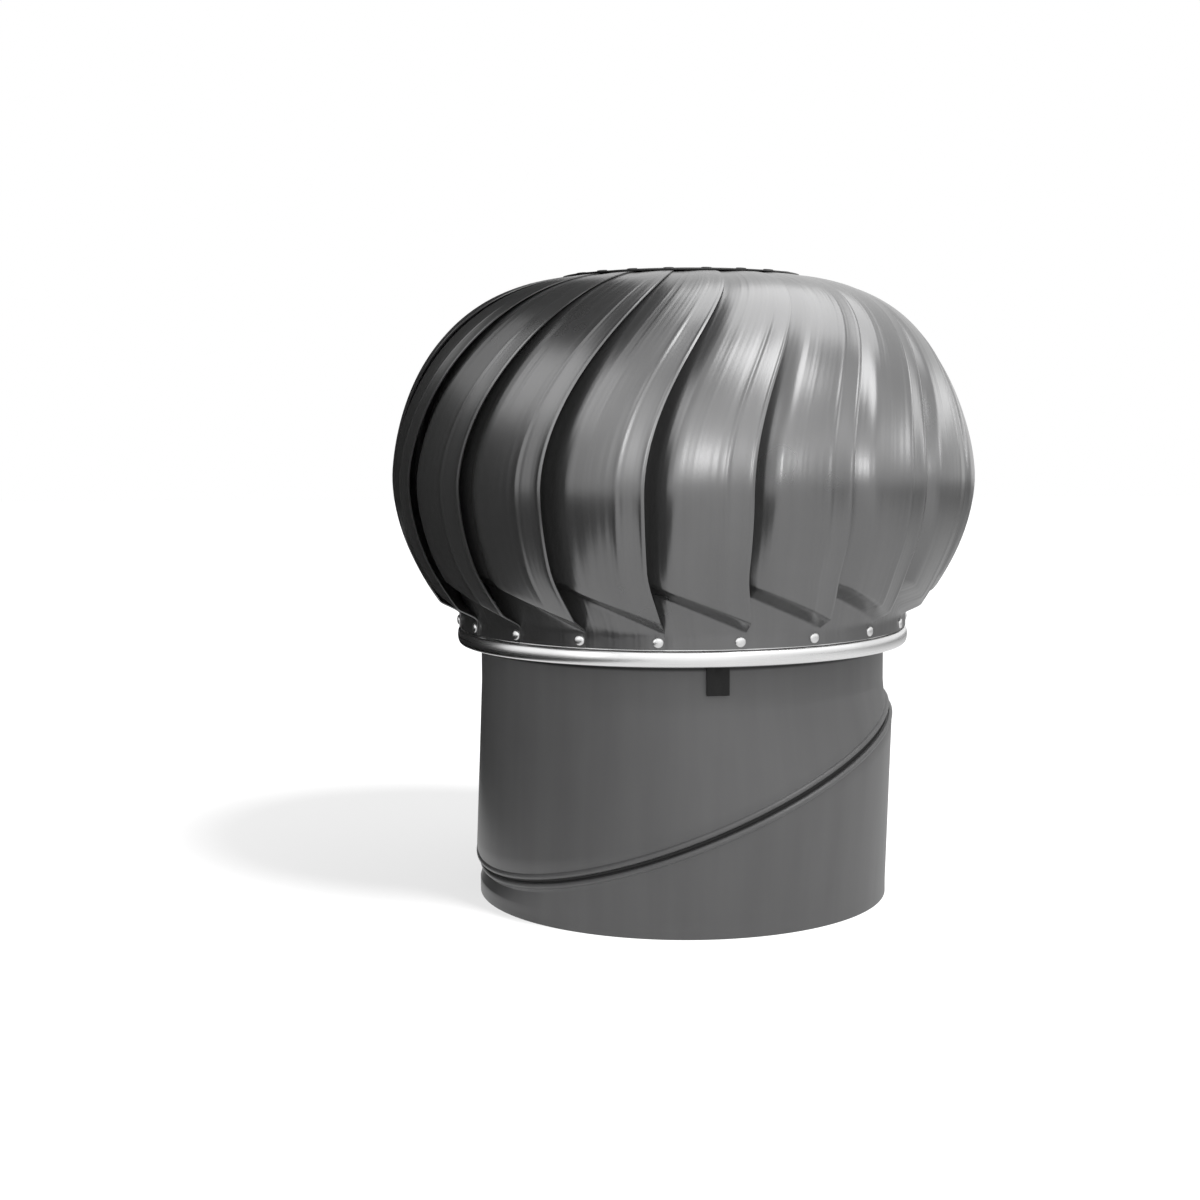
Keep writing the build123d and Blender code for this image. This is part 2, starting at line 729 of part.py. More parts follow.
# ---- top plate, its rivets and the dust cap -----------------------------------------------------
with BuildPart() as top_plate:
    with BuildSketch(Plane.XZ):
        with BuildLine():
            Polyline(
                (cap_hole, plate_underside),
                (plate_flat, plate_underside),
                (plate_radius, rim_underside),
                (plate_radius, rim_underside + plate_sheet * rim_stretch),
                (plate_flat, plate_underside + plate_sheet),
                (cap_hole, plate_underside + plate_sheet),
                close=True,
            )
        make_face()
    revolve(axis=Axis.Z)
    for index in range(vane_count):
        with BuildSketch(top_rivet_plane(index)):
            Circle(rivet_radius + hole_clearance)
        extrude(amount=-2 * plate_sheet, mode=Mode.SUBTRACT)
    housing_rivet_circle = (upper_flange_radius + upper_bearing_radius + housing_wall) / 2
    with BuildSketch(Plane.XY.offset(plate_underside)):
        with PolarLocations(housing_rivet_circle, 4):
            Circle(rivet_radius + hole_clearance)
    extrude(amount=plate_sheet, mode=Mode.SUBTRACT)
save(top_plate, "top_plate")

top_grip = plate_sheet + 2 * plate_gap + 2 * vane_sheet + 2 * stack_clearance
top_rivets = placed(
    rivet(top_grip, top_head_height), [top_rivet_plane(index) for index in range(vane_count)]
)
save(top_rivets, "top_rivets")

cap_shoulder = cap_middle(cap_radius, cap_height)
with BuildPart() as dust_cap:
    with BuildSketch(Plane.XZ):
        with BuildLine():
            crown = ThreePointArc(
                (cap_radius, plate_top),
                (cap_shoulder[0], plate_top + cap_shoulder[1]),
                (0, plate_top + cap_height),
            )
            Polyline(
                crown @ 1,
                (0, plate_top),
                (cap_hole - slip - cap_wall, plate_top),
                (cap_hole - slip - cap_wall, plate_underside - cap_depth),
                (cap_hole - slip, plate_underside - cap_depth),
                (cap_hole - slip, plate_top),
                crown @ 0,
            )
        make_face()
    revolve(axis=Axis.Z)
save(dust_cap, "dust_cap")

# ---- bearing housings, circlips and the rotor's brace -------------------------------------------
upper_seat_top = upper_bearing_height + upper_bearing_width
upper_housing_outside = upper_bearing_radius + housing_wall
with BuildPart() as upper_housing:
    add(
        turned(
            [
                (upper_bearing_radius, upper_bearing_height - circlip_thickness - 1),
                (upper_housing_outside, upper_bearing_height - circlip_thickness - 1),
                (upper_housing_outside, plate_underside - flange_thickness),
                (upper_flange_radius, plate_underside - flange_thickness),
                (upper_flange_radius, plate_underside),
                (upper_bearing_radius - housing_step, plate_underside),
                (upper_bearing_radius - housing_step, upper_seat_top),
                (upper_bearing_radius, upper_seat_top),
            ]
        ).part
    )
    with BuildSketch(Plane.XY.offset(plate_underside)):
        with PolarLocations(housing_rivet_circle, 4):
            Circle(rivet_radius + hole_clearance)
    extrude(amount=-flange_thickness, mode=Mode.SUBTRACT)
save(upper_housing, "upper_housing")

lower_seat_top = lower_bearing_height + lower_bearing_width
lower_housing_outside = lower_bearing_radius + housing_wall
lower_rivet_circle = (lower_flange_radius + lower_housing_outside) / 2
with BuildPart() as lower_housing:
    add(
        turned(
            [
                (lower_bearing_radius - housing_step, lower_bearing_height - housing_lip),
                (lower_housing_outside, lower_bearing_height - housing_lip),
                (lower_housing_outside, brace_top),
                (lower_flange_radius, brace_top),
                (lower_flange_radius, brace_top + flange_thickness),
                (lower_bearing_radius, brace_top + flange_thickness),
                (lower_bearing_radius, lower_bearing_height),
                (lower_bearing_radius - housing_step, lower_bearing_height),
            ]
        ).part
    )
    with BuildSketch(Plane.XY.offset(brace_top)):
        with PolarLocations(lower_rivet_circle, arm_count, start_angle=brace_angle):
            Circle(rivet_radius + hole_clearance)
    extrude(amount=flange_thickness, mode=Mode.SUBTRACT)
save(lower_housing, "lower_housing")

for name, seat, height in (
    ("upper_circlip", upper_bearing_radius, upper_bearing_height - circlip_thickness),
    ("lower_circlip", lower_bearing_radius, lower_seat_top),
):
    with BuildPart() as circlip:
        with BuildSketch(Plane.XY.offset(height)):
            Circle(seat)
            Circle(seat - circlip_width, mode=Mode.SUBTRACT)
        extrude(amount=circlip_thickness)
    save(circlip, name)

with BuildPart() as rotor_brace:
    with BuildSketch(Plane.XY.offset(brace_bottom)):
        with PolarLocations(ring_inside / 2, arm_count, start_angle=brace_angle):
            Rectangle(ring_inside, brace_arm_width)
        Circle(ring_inside - slip, mode=Mode.INTERSECT)
        Circle(brace_hub)
        Circle(lower_housing_outside + hole_clearance, mode=Mode.SUBTRACT)
        with PolarLocations(brace_bolt_circle, arm_count, start_angle=brace_angle):
            Circle(bolt_radius + hole_clearance, mode=Mode.SUBTRACT)
        with PolarLocations(lower_rivet_circle, arm_count, start_angle=brace_angle):
            Circle(rivet_radius + hole_clearance, mode=Mode.SUBTRACT)
    extrude(amount=brace_thickness)
save(rotor_brace, "rotor_brace")

brace_bolts = placed(
    bolt(brace_top - ring_top + ring_sheet),
    [
        Plane(origin=outwards(angle) * brace_bolt_circle + Vector(0, 0, brace_top))
        for angle in brace_angles
    ],
)
save(brace_bolts, "brace_bolts")

with BuildPart() as housing_rivets:
    with Locations((0, 0, plate_top)):
        with PolarLocations(housing_rivet_circle, 4):
            add(rivet(plate_sheet + flange_thickness).part)
    with Locations((0, 0, brace_top + flange_thickness)):
        with PolarLocations(lower_rivet_circle, arm_count, start_angle=brace_angle):
            add(rivet(flange_thickness + brace_thickness).part)
save(housing_rivets, "housing_rivets")
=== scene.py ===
# Roof turbine ventilator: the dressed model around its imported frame. Metres, +Z up.
import json
import math

import bmesh
import bpy
from mathutils import Matrix, Vector


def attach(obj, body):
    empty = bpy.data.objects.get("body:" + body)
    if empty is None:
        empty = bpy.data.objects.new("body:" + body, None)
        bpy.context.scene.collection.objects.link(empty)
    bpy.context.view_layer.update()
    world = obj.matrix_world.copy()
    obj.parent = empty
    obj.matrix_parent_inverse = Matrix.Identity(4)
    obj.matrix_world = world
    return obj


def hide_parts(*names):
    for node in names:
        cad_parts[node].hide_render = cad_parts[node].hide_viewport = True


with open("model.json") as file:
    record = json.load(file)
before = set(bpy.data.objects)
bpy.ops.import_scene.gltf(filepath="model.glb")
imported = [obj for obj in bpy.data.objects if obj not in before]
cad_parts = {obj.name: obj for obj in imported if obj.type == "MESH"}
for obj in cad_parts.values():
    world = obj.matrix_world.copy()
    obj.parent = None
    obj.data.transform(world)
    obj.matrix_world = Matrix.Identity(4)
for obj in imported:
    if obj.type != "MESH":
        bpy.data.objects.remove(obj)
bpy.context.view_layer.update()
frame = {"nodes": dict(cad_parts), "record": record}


# Shader maths: a Wire is a socket that takes part in Python arithmetic.
class Wire:
    def __init__(self, recipe, socket):
        self.recipe = recipe
        self.socket = socket

    def sum(self, operation, first, second):
        return self.recipe.make("ShaderNodeMath", {"operation": operation}, {0: first, 1: second})

    def __add__(self, other):
        return self.sum("ADD", self, other)

    def __radd__(self, other):
        return self.sum("ADD", other, self)

    def __sub__(self, other):
        return self.sum("SUBTRACT", self, other)

    def __rsub__(self, other):
        return self.sum("SUBTRACT", other, self)

    def __mul__(self, other):
        return self.sum("MULTIPLY", self, other)

    def __rmul__(self, other):
        return self.sum("MULTIPLY", other, self)


# Sizes of the throat, which its paint needs as well.
throat = {
    "collarRadius": 0.1508,
    "collarHeight": 0.010,
    "brokenEdge": 0.0002,
    "sheet": 0.0008,
    "seamHeight": 0.084,
    "seamTilt": 22.0,
    "seamHeading": 19.0,
    "seamRadius": 0.1615,
    "groove": 0.0028,
    "beadHeight": 0.0020,
    "beadWidth": 0.0046,
    "land": 0.002,
    "spigotRadius": 0.16035,
    "spigotBead": 0.0014,
    "spigotBeadHalf": 0.0017,
    "spigotSetback": 0.0006,  # of the upper half's inner edge from the groove
    "beadFullness": 0.7,
    "overlap": 0.0072,
    "neckRadius": 0.148,
    "neckStart": 0.158,
    "neckTop": 0.198,
    "segments": 192,
    "levels": 14,
}


def outwards(angle):
    return Vector((math.cos(math.radians(angle)), math.sin(math.radians(angle)), 0))


class Recipe:
    def __init__(self, name, owner=None):
        self.owner = owner or bpy.data.materials.new(name)
        self.owner.use_nodes = True
        self.tree = self.owner.node_tree
        self.tree.nodes.clear()

    def make(self, kind, settings=None, sockets=None, output=0):
        node = self.tree.nodes.new(kind)
        for name, value in (settings or {}).items():
            if name == "stops":
                ramp = node.color_ramp.elements
                while len(ramp) < len(value):
                    ramp.new(1.0)
                for stop, (place, shade) in zip(ramp, value):
                    stop.position = place
                    stop.color = (shade, shade, shade, 1)
            else:
                setattr(node, name, value)
        for name, value in (sockets or {}).items():
            if isinstance(value, Wire):
                self.tree.links.new(value.socket, node.inputs[name])
            else:
                node.inputs[name].default_value = value
        return Wire(self, node.outputs[output]) if len(node.outputs) else node

    def place(self):
        return self.make("ShaderNodeTexCoord", output="Object")

    def noise(self, vector, scale, detail=2.0, roughness=0.5):
        sockets = {"Vector": vector, "Scale": scale, "Detail": detail, "Roughness": roughness}
        return self.make("ShaderNodeTexNoise", sockets=sockets)

    def ramp(self, value, *stops):
        return self.make("ShaderNodeValToRGB", {"stops": stops}, {"Fac": value})

    def tint(self, factor, dark, light):
        sockets = {"Factor": factor, 6: (*dark, 1), 7: (*light, 1)}
        return self.make("ShaderNodeMix", {"data_type": "RGBA"}, sockets, output=2)

    def bump(self, height, strength, distance, below=None):
        sockets = {"Height": height, "Strength": strength, "Distance": distance}
        if below:
            sockets["Normal"] = below
        return self.make("ShaderNodeBump", sockets=sockets)

    def round(self):
        # Angle about the axis, radius and height of a point, for grain round or up a piece.
        point = self.place()
        parts = self.tree.nodes.new("ShaderNodeSeparateXYZ")
        self.tree.links.new(point.socket, parts.inputs[0])
        x, y, z = (Wire(self, parts.outputs[axis]) for axis in range(3))
        angle = self.make("ShaderNodeMath", {"operation": "ARCTAN2"}, {0: y, 1: x})
        radius = self.make("ShaderNodeMath", {"operation": "SQRT"}, {0: x * x + y * y})
        return angle, radius, z

    def seamDistance(self):
        # Distance of a point from the oblique seam's plane, on either side.
        lean = math.radians(throat["seamTilt"])
        uphill = outwards(throat["seamHeading"]) * math.sin(lean)
        axis = (-uphill.x, -uphill.y, math.cos(lean))
        dot = {"operation": "DOT_PRODUCT"}
        away = self.make("ShaderNodeVectorMath", dot, {0: self.place(), 1: axis}, "Value")
        offset = away - throat["seamHeight"] * math.cos(lean)
        return self.make("ShaderNodeMath", {"operation": "ABSOLUTE"}, {0: offset})

    def vector(self, x, y, z):
        return self.make("ShaderNodeCombineXYZ", sockets={"X": x, "Y": y, "Z": z})

    def finish(self, sockets):
        shader = self.make("ShaderNodeBsdfPrincipled", sockets=sockets)
        self.make("ShaderNodeOutputMaterial", sockets={"Surface": shader})
        return self.owner


vanePaint = {
    "dark": (0.155, 0.155, 0.156),
    "light": (0.190, 0.190, 0.191),
    "metal": 0.80,
    "roughLow": 0.24,
    "roughHigh": 0.34,
    "streakWidth": 0.012,     # of the rolled streaks along a vane
    "streakLength": 0.40,
    "streakDepth": 0.0013,
    "peelScale": 900.0,
}


def makeVanePaint():
    r = Recipe("vane paint")
    uv = r.make("ShaderNodeUVMap", {"uv_map": "vaneMap"})
    scale = (1 / vanePaint["streakWidth"], 1 / vanePaint["streakLength"], 1.0)
    along = r.make("ShaderNodeMapping", sockets={"Vector": uv, "Scale": scale})
    streaks = r.noise(along, 1.0, 2.0, 0.45)
    cloud = r.noise(r.place(), 11.0, 3.0)
    peel = r.noise(r.place(), vanePaint["peelScale"], 1.0)
    worn = r.ramp(cloud * 0.6 + streaks * 0.4, (0.3, 0.0), (0.7, 1.0))
    rolled = r.bump(streaks, 0.7, vanePaint["streakDepth"])
    skin = r.bump(peel, 0.08, 0.0001, rolled)
    spread = vanePaint["roughHigh"] - vanePaint["roughLow"]
    return r.finish({
        "Base Color": r.tint(worn, vanePaint["dark"], vanePaint["light"]),
        "Metallic": vanePaint["metal"],
        "Roughness": cloud * spread + vanePaint["roughLow"],
        "Normal": skin,
    })


throatPaint = {
    "dark": (0.105, 0.105, 0.106),
    "light": (0.130, 0.130, 0.131),
    "roughLow": 0.36,
    "roughHigh": 0.50,
    "grainRound": 10.0,
    "grainUp": 6.0,
    "shadeTone": 0.015,            # painted shade, near-black: the ring's shadow on the rim in its lee, and shade in the seam's groove
    "ringShadeStart": 0.1812,
    "ringShadeDepth": 0.0016,
    "grooveShadeHalf": 0.0019,
}


def makeThroatPaint():
    r = Recipe("throat paint")
    angle, radius, height = r.round()
    along = r.vector(angle * throatPaint["grainRound"], radius, height * throatPaint["grainUp"])
    grain = r.noise(along, 1.0, 3.0)
    cloud = r.noise(r.place(), 9.0, 4.0)
    peel = r.noise(r.place(), 1100.0, 1.0)
    worn = r.ramp(cloud * 0.5 + grain * 0.5, (0.3, 0.0), (0.7, 1.0))
    rolled = r.bump(grain, 0.12, 0.0006)
    skin = r.bump(peel, 0.08, 0.0001, rolled)
    spread = throatPaint["roughHigh"] - throatPaint["roughLow"]
    # Painted shadow of the ring: from a few millimetres below the ring's lower edge upwards the
    # colour turns near-black. The top plate and its rivets share this paint and lie higher still, so
    # they turn near-black as well.
    shadeMask = (height - throatPaint["ringShadeStart"]) * (1 / throatPaint["ringShadeDepth"])
    # Painted shade in the seam's groove: a dark band on either side of the seam's plane.
    groove = r.ramp(r.seamDistance() * (1 / throatPaint["grooveShadeHalf"]), (0.6, 1.0), (1.0, 0.0))
    shadeMask = r.ramp(shadeMask, (0.0, 0.0), (1.0, 1.0)) + groove
    coat = r.tint(worn, throatPaint["dark"], throatPaint["light"])
    shadeTone = (throatPaint["shadeTone"],) * 3 + (1,)
    layers = {"Factor": shadeMask, 6: coat, 7: shadeTone}
    coat = r.make("ShaderNodeMix", {"data_type": "RGBA"}, layers, output=2)
    return r.finish({
        "Base Color": coat,
        "Metallic": 0.2,
        "Roughness": cloud * spread + throatPaint["roughLow"],
        "Normal": skin,
    })


def makeMillAluminium(name, dark, light, low, high):
    r = Recipe(name)
    angle, radius, height = r.round()
    lines = r.noise(r.vector(angle * 1.5, radius * 900.0, height * 900.0), 1.0, 2.0)
    cloud = r.noise(r.place(), 25.0, 3.0)
    return r.finish({
        "Base Color": r.tint(cloud, (dark,) * 3, (light,) * 3),
        "Metallic": 1.0,
        "Roughness": lines * (high - low) + low,
        "Normal": r.bump(lines, 0.10, 0.00008),
    })


def makeCastAluminium():
    r = Recipe("cast aluminium")
    grit = r.noise(r.place(), 1400.0, 3.0)
    cloud = r.noise(r.place(), 40.0, 3.0)
    return r.finish({
        "Base Color": r.tint(cloud, (0.52, 0.52, 0.53), (0.64, 0.64, 0.65)),
        "Metallic": 1.0,
        "Roughness": cloud * 0.15 + 0.42,
        "Normal": r.bump(grit, 0.25, 0.00012),
    })


def makeZinc():
    r = Recipe("zinc plate")
    cells = {"Vector": r.place(), "Scale": 190.0}
    flakes = r.make("ShaderNodeTexVoronoi", sockets=cells, output="Color")
    shade = r.make("ShaderNodeRGBToBW", sockets={"Color": flakes})
    cloud = r.noise(r.place(), 30.0, 3.0)
    return r.finish({
        "Base Color": r.tint(shade * 0.6 + cloud * 0.4, (0.44, 0.45, 0.46), (0.62, 0.63, 0.64)),
        "Metallic": 1.0,
        "Roughness": shade * 0.14 + 0.30,
        "Normal": r.bump(cloud, 0.1, 0.0002),
    })


def makeSteel(name, dark, light, rough):
    r = Recipe(name)
    angle, radius, height = r.round()
    turned = r.noise(r.vector(angle * 0.6, radius * 2600.0, height * 2600.0), 1.0, 2.0)
    cloud = r.noise(r.place(), 45.0, 3.0)
    return r.finish({
        "Base Color": r.tint(cloud, dark, light),
        "Metallic": 1.0,
        "Roughness": turned * 0.12 + rough,
        "Normal": r.bump(turned, 0.06, 0.00005),
    })


def makeNylon(name, dark, light):
    r = Recipe(name)
    grit = r.noise(r.place(), 1800.0, 2.0)
    cloud = r.noise(r.place(), 60.0, 3.0)
    return r.finish({
        "Base Color": r.tint(cloud, dark, light),
        "Roughness": cloud * 0.12 + 0.50,
        "Specular IOR Level": 0.3,
        "Normal": r.bump(grit, 0.18, 0.0001),
    })


finishes = {
    "vane_sheet": makeVanePaint(),
    "grey_sheet": makeThroatPaint(),
    "mill_aluminium": makeMillAluminium("mill aluminium", 0.72, 0.82, 0.22, 0.36),
    "rivet_aluminium": makeMillAluminium("rivet aluminium", 0.66, 0.74, 0.26, 0.36),
    "cast_aluminium": makeCastAluminium(),
    "zinc_steel": makeZinc(),
    "bright_steel": makeSteel("ground steel", (0.52, 0.52, 0.53), (0.62, 0.62, 0.63), 0.18),
    "bearing_steel": makeSteel("bearing steel", (0.66, 0.66, 0.67), (0.74, 0.74, 0.75), 0.08),
    "black_steel": makeSteel("black steel", (0.035, 0.035, 0.037), (0.06, 0.06, 0.062), 0.30),
    "cage_plastic": makeNylon("cage nylon", (0.66, 0.62, 0.50), (0.74, 0.70, 0.58)),
    "black_plastic": makeNylon("black nylon", (0.006, 0.006, 0.006), (0.012, 0.012, 0.012)),
}
slotOf = {part["node"]: part["material_slot"] for part in frame["record"]["subparts"]}
for nodeName, nodeObject in frame["nodes"].items():
    nodeObject.data.materials.clear()
    nodeObject.data.materials.append(finishes[slotOf[nodeName]])
print("finishes made:", len(finishes))


# Mesh helpers.
def meshObject(name, points, faces):
    mesh = bpy.data.meshes.new(name)
    mesh.from_pydata(points, [], faces)
    mesh.validate()
    item = bpy.data.objects.new(name, mesh)
    bpy.context.scene.collection.objects.link(item)
    return item


def addModifier(item, kind, **settings):
    modifier = item.modifiers.new(kind.lower(), kind)
    for name, value in settings.items():
        setattr(modifier, name, value)
    return modifier


def bake(item):
    # The evaluated mesh takes the place of the mesh and its modifiers.
    bpy.context.view_layer.update()
    graph = bpy.context.evaluated_depsgraph_get()
    mesh = bpy.data.meshes.new_from_object(item.evaluated_get(graph))
    item.modifiers.clear()
    item.data = mesh
    mesh.name = item.name
    return item


def smooth(item, degreesLimit=35.0):
    for polygon in item.data.polygons:
        polygon.use_smooth = True
    item.data.set_sharp_from_angle(angle=math.radians(degreesLimit))
    return item


def pointOutwards(item):
    work = bmesh.new()
    work.from_mesh(item.data)
    bmesh.ops.remove_doubles(work, verts=work.verts, dist=1e-6)
    bmesh.ops.recalc_face_normals(work, faces=work.faces)
    work.to_mesh(item.data)
    work.free()
    return item


def turnOutwards(item):
    # Reverses an open sheet whose outermost face points inwards.
    work = bmesh.new()
    work.from_mesh(item.data)
    face = max(work.faces, key=lambda f: f.calc_center_median().xy.length)
    middle = face.calc_center_median()
    if face.normal.dot(Vector((middle.x, middle.y, 0))) < 0:
        bmesh.ops.reverse_faces(work, faces=work.faces)
    work.to_mesh(item.data)
    work.free()


def closedRings(name, rings):
    # A tube of quads through closed rings of points, open at its first and last ring.
    count = len(rings[0])
    points = [point for ring in rings for point in ring]
    faces = []
    for level in range(len(rings) - 1):
        for side in range(count):
            a = level * count + side
            b = level * count + (side + 1) % count
            faces.append((a, b, b + count, a + count))
    return meshObject(name, points, faces)


def turnedPiece(name, profile, segments=128, closed=True):
    # A closed (radius, height) outline turned about the axis; a radius of 0 becomes a pole.
    rings = []
    for radius, height in profile:
        turn = [2 * math.pi * side / segments for side in range(segments)]
        rings.append([(radius * math.cos(t), radius * math.sin(t), height) for t in turn])
    if closed:
        rings.append(rings[0])
    return pointOutwards(closedRings(name, rings))


def arcPoints(centre, radius, start, end, steps):
    sweep = [math.radians(start + (end - start) * step / steps) for step in range(steps + 1)]
    return [(centre[0] + radius * math.cos(a), centre[1] + radius * math.sin(a)) for a in sweep]


def polarTree():
    # Copies the object's own mesh evenly about the Z axis.
    tree = bpy.data.node_groups.new("polar copies", "GeometryNodeTree")
    sockets = {
        "Geometry": "Geometry",
        "Count": "Int",
        "First Angle": "Float",
        "Step": "Float",
        "Finish": "Material",
    }
    for name, kind in sockets.items():
        tree.interface.new_socket(name, in_out="INPUT", socket_type="NodeSocket" + kind)
    tree.interface.new_socket("Geometry", in_out="OUTPUT", socket_type="NodeSocketGeometry")

    def node(kind, **settings):
        made = tree.nodes.new(kind)
        for name, value in settings.items():
            setattr(made, name, value)
        return made

    def join(source, output, target, socket):
        tree.links.new(source.outputs[output], target.inputs[socket])

    given = node("NodeGroupInput")
    result = node("NodeGroupOutput")
    dots = node("GeometryNodePoints")
    index = node("GeometryNodeInputIndex")
    turn = node("ShaderNodeMath", operation="MULTIPLY_ADD")
    spin = node("ShaderNodeCombineXYZ")
    copies = node("GeometryNodeInstanceOnPoints")
    real = node("GeometryNodeRealizeInstances")
    coat = node("GeometryNodeSetMaterial")
    join(given, "Count", dots, "Count")
    join(index, 0, turn, 0)
    join(given, "Step", turn, 1)
    join(given, "First Angle", turn, 2)
    join(turn, 0, spin, "Z")
    join(dots, 0, copies, "Points")
    join(given, "Geometry", copies, "Instance")
    join(spin, 0, copies, "Rotation")
    join(copies, 0, real, 0)
    join(real, 0, coat, "Geometry")
    join(given, "Finish", coat, "Material")
    join(coat, 0, result, 0)
    return tree


polarCopies = polarTree()


def copyRound(item, count, firstAngle, step, finish):
    modifier = item.modifiers.new("copies", "NODES")
    modifier.node_group = polarCopies
    tree = polarCopies.interface.items_tree
    sockets = {s.name: s.identifier for s in tree if s.in_out == "INPUT"}
    modifier[sockets["Count"]] = count
    modifier[sockets["First Angle"]] = math.radians(firstAngle)
    modifier[sockets["Step"]] = math.radians(step)
    modifier[sockets["Finish"]] = finishes[finish]
    return bake(item)


def fit(item, body, slot, *nodes):
    if not item.data.materials:
        item.data.materials.append(finishes[slot])
    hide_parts(*nodes)
    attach(item, body)
    print("piece:", item.name, len(item.data.polygons), "faces")
    return item


# Throat: two sheet halves that meet in beads on an oblique plane.
def circleAt(centre, normal, radius):
    # Ring of points about a normal, each half of the throat starting from the same level direction.
    across = outwards(throat["seamHeading"] + 90)
    other = normal.cross(across)
    ring = []
    for side in range(throat["segments"]):
        turn = 2 * math.pi * side / throat["segments"]
        ring.append(centre + (across * math.cos(turn) + other * math.sin(turn)) * radius)
    return ring


def blendRings(low, high, steps):
    return [[a.lerp(b, step / steps) for a, b in zip(low, high)] for step in range(1, steps)]


def roundBead(radius, rise, start, end, steps=10):
    # Rounded bead standing out of a sheet, as (radius, distance along the seam's axis).
    bead = []
    for step in range(steps + 1):
        share = step / steps
        swell = math.sin(math.pi * share) ** throat["beadFullness"]
        bead.append((radius + rise * swell, start + (end - start) * share))
    return bead


def makeThroat():
    up = Vector((0, 0, 1))
    tilt = math.radians(throat["seamTilt"])
    axis = up * math.cos(tilt) - outwards(throat["seamHeading"]) * math.sin(tilt)
    centre = Vector((0, 0, throat["seamHeight"]))
    half = throat["groove"] / 2
    beadEnd = half + throat["beadWidth"]
    seamEnd = beadEnd + throat["land"]

    def flat(height, radius):
        return circleAt(Vector((0, 0, height)), up, radius)

    def oblique(radius, distance):
        return circleAt(centre + axis * distance, axis, radius)

    rim = flat(0.0, throat["collarRadius"])
    collar = flat(throat["collarHeight"], throat["collarRadius"])
    meet = oblique(throat["seamRadius"], -seamEnd)
    lowerRings = [rim] + blendRings(rim, collar, 3) + [collar]
    lowerRings += blendRings(collar, meet, throat["levels"]) + [meet]
    for radius, distance in roundBead(throat["seamRadius"], throat["beadHeight"], -beadEnd, -half):
        lowerRings.append(oblique(radius, distance))
    lower = closedRings("lowerThroatShell", lowerRings)

    upperRings = []
    catch = -half - throat["beadWidth"] / 2
    spigot = [(throat["spigotRadius"], -throat["overlap"])]
    catchStart, catchEnd = catch - throat["spigotBeadHalf"], catch + throat["spigotBeadHalf"]
    spigot += roundBead(throat["spigotRadius"], throat["spigotBead"], catchStart, catchEnd, 8)
    spigot += [(throat["spigotRadius"], half - throat["spigotSetback"])]
    spigot += roundBead(throat["seamRadius"], throat["beadHeight"], half, beadEnd)
    for radius, distance in spigot:
        upperRings.append(oblique(radius, distance))
    join = oblique(throat["seamRadius"], seamEnd)
    neck = flat(throat["neckStart"], throat["neckRadius"])
    top = flat(throat["neckTop"], throat["neckRadius"])
    upperRings += [join] + blendRings(join, neck, throat["levels"]) + [neck]
    upperRings += blendRings(neck, top, 6) + [top]
    upper = closedRings("upperThroatShell", upperRings)

    for shell, body, node in ((lower, "base", "lower_throat"), (upper, "neck", "upper_throat")):
        pointOutwards(shell)
        addModifier(shell, "SOLIDIFY", thickness=throat["sheet"], offset=-1.0, use_even_offset=True)
        edge = math.radians(60)
        width = throat["brokenEdge"]
        addModifier(shell, "BEVEL", width=width, segments=2, limit_method="ANGLE", angle_limit=edge)
        smooth(bake(shell), 40.0)
        fit(shell, body, "grey_sheet", node)


makeThroat()


# Vanes: one swept sheet, copied round the head.
vanes = {
    "count": 19,
    "sheet": 0.0008,
    "bellyRadius": 0.2117,
    "bellyHeight": 0.306,
    "crownHeight": 0.1455,
    "crownFullness": 1.605,
    "crownFlatness": 4.1,
    "bellyDrop": 0.0437,
    "bellyFullness": 1.93,
    "footHeight": 0.203,
    "bottom": 0.198,
    "top": 0.4502,
    "firstRivet": -95.3,
    "rivetEdge": 0.0042,
    "lipLag": 1.0,
    "lipSettle": 0.050,
    "lipSweep": 14.3,
    "sweepStart": 0.300,
    "sweepSpan": 0.120,
    "lipWidth": 0.26,
    "lipFall": 0.12,
    "gapDepth": 0.010,
    "gapStart": 0.216,
    "gapEnd": 0.448,
    "gapSkew": 0.7,
    "tuckStart": 0.74,
    "tuckSlope": 1.2,         # of the part beyond the next lip
    "reach": 1.33,
    "foldRise": 0.027,
    "foldBlend": 0.010,
    "footFlat": 0.0042,
    "footGap": 0.00025,
    "footSlope": 0.35,
    "stackGap": 0.00015,
    "hemWidth": 0.055,        # rolled hem along the lip, as a share of the pitch
    "hemRise": 0.0005,
    "creaseWidth": 0.09,      # rib along the inner edge of the lip
    "creaseRise": 0.0004,
    "reliefFade": 0.4,        # share of the gap below which hem and rib fade out
    "troughDepth": 0.0003,    # hollow between hem and rib
    "hemCells": 6,
    "lipCells": 7,
    "creaseCells": 8,
    "sheetCells": 26,
    "footCells": 8,
    "foldCells": 12,
    "bellyCells": 66,
}
ring = {
    "radius": 0.162,
    "sheet": 0.0012,
    "bottom": 0.1861,
    "top": 0.209,
    "beadTop": 0.1973,
    "bead": 0.0032,
    "beadFullness": 0.62,
    "neckRise": 0.0016,       # straight part above the bead
    "ledge": 0.012,
    "bend": 0.0016,
}
stackStep = vanes["sheet"] + vanes["stackGap"]
vanePitch = 360 / vanes["count"]


def ease(value):
    value = min(1.0, max(0.0, value))
    return value * value * (3 - 2 * value)


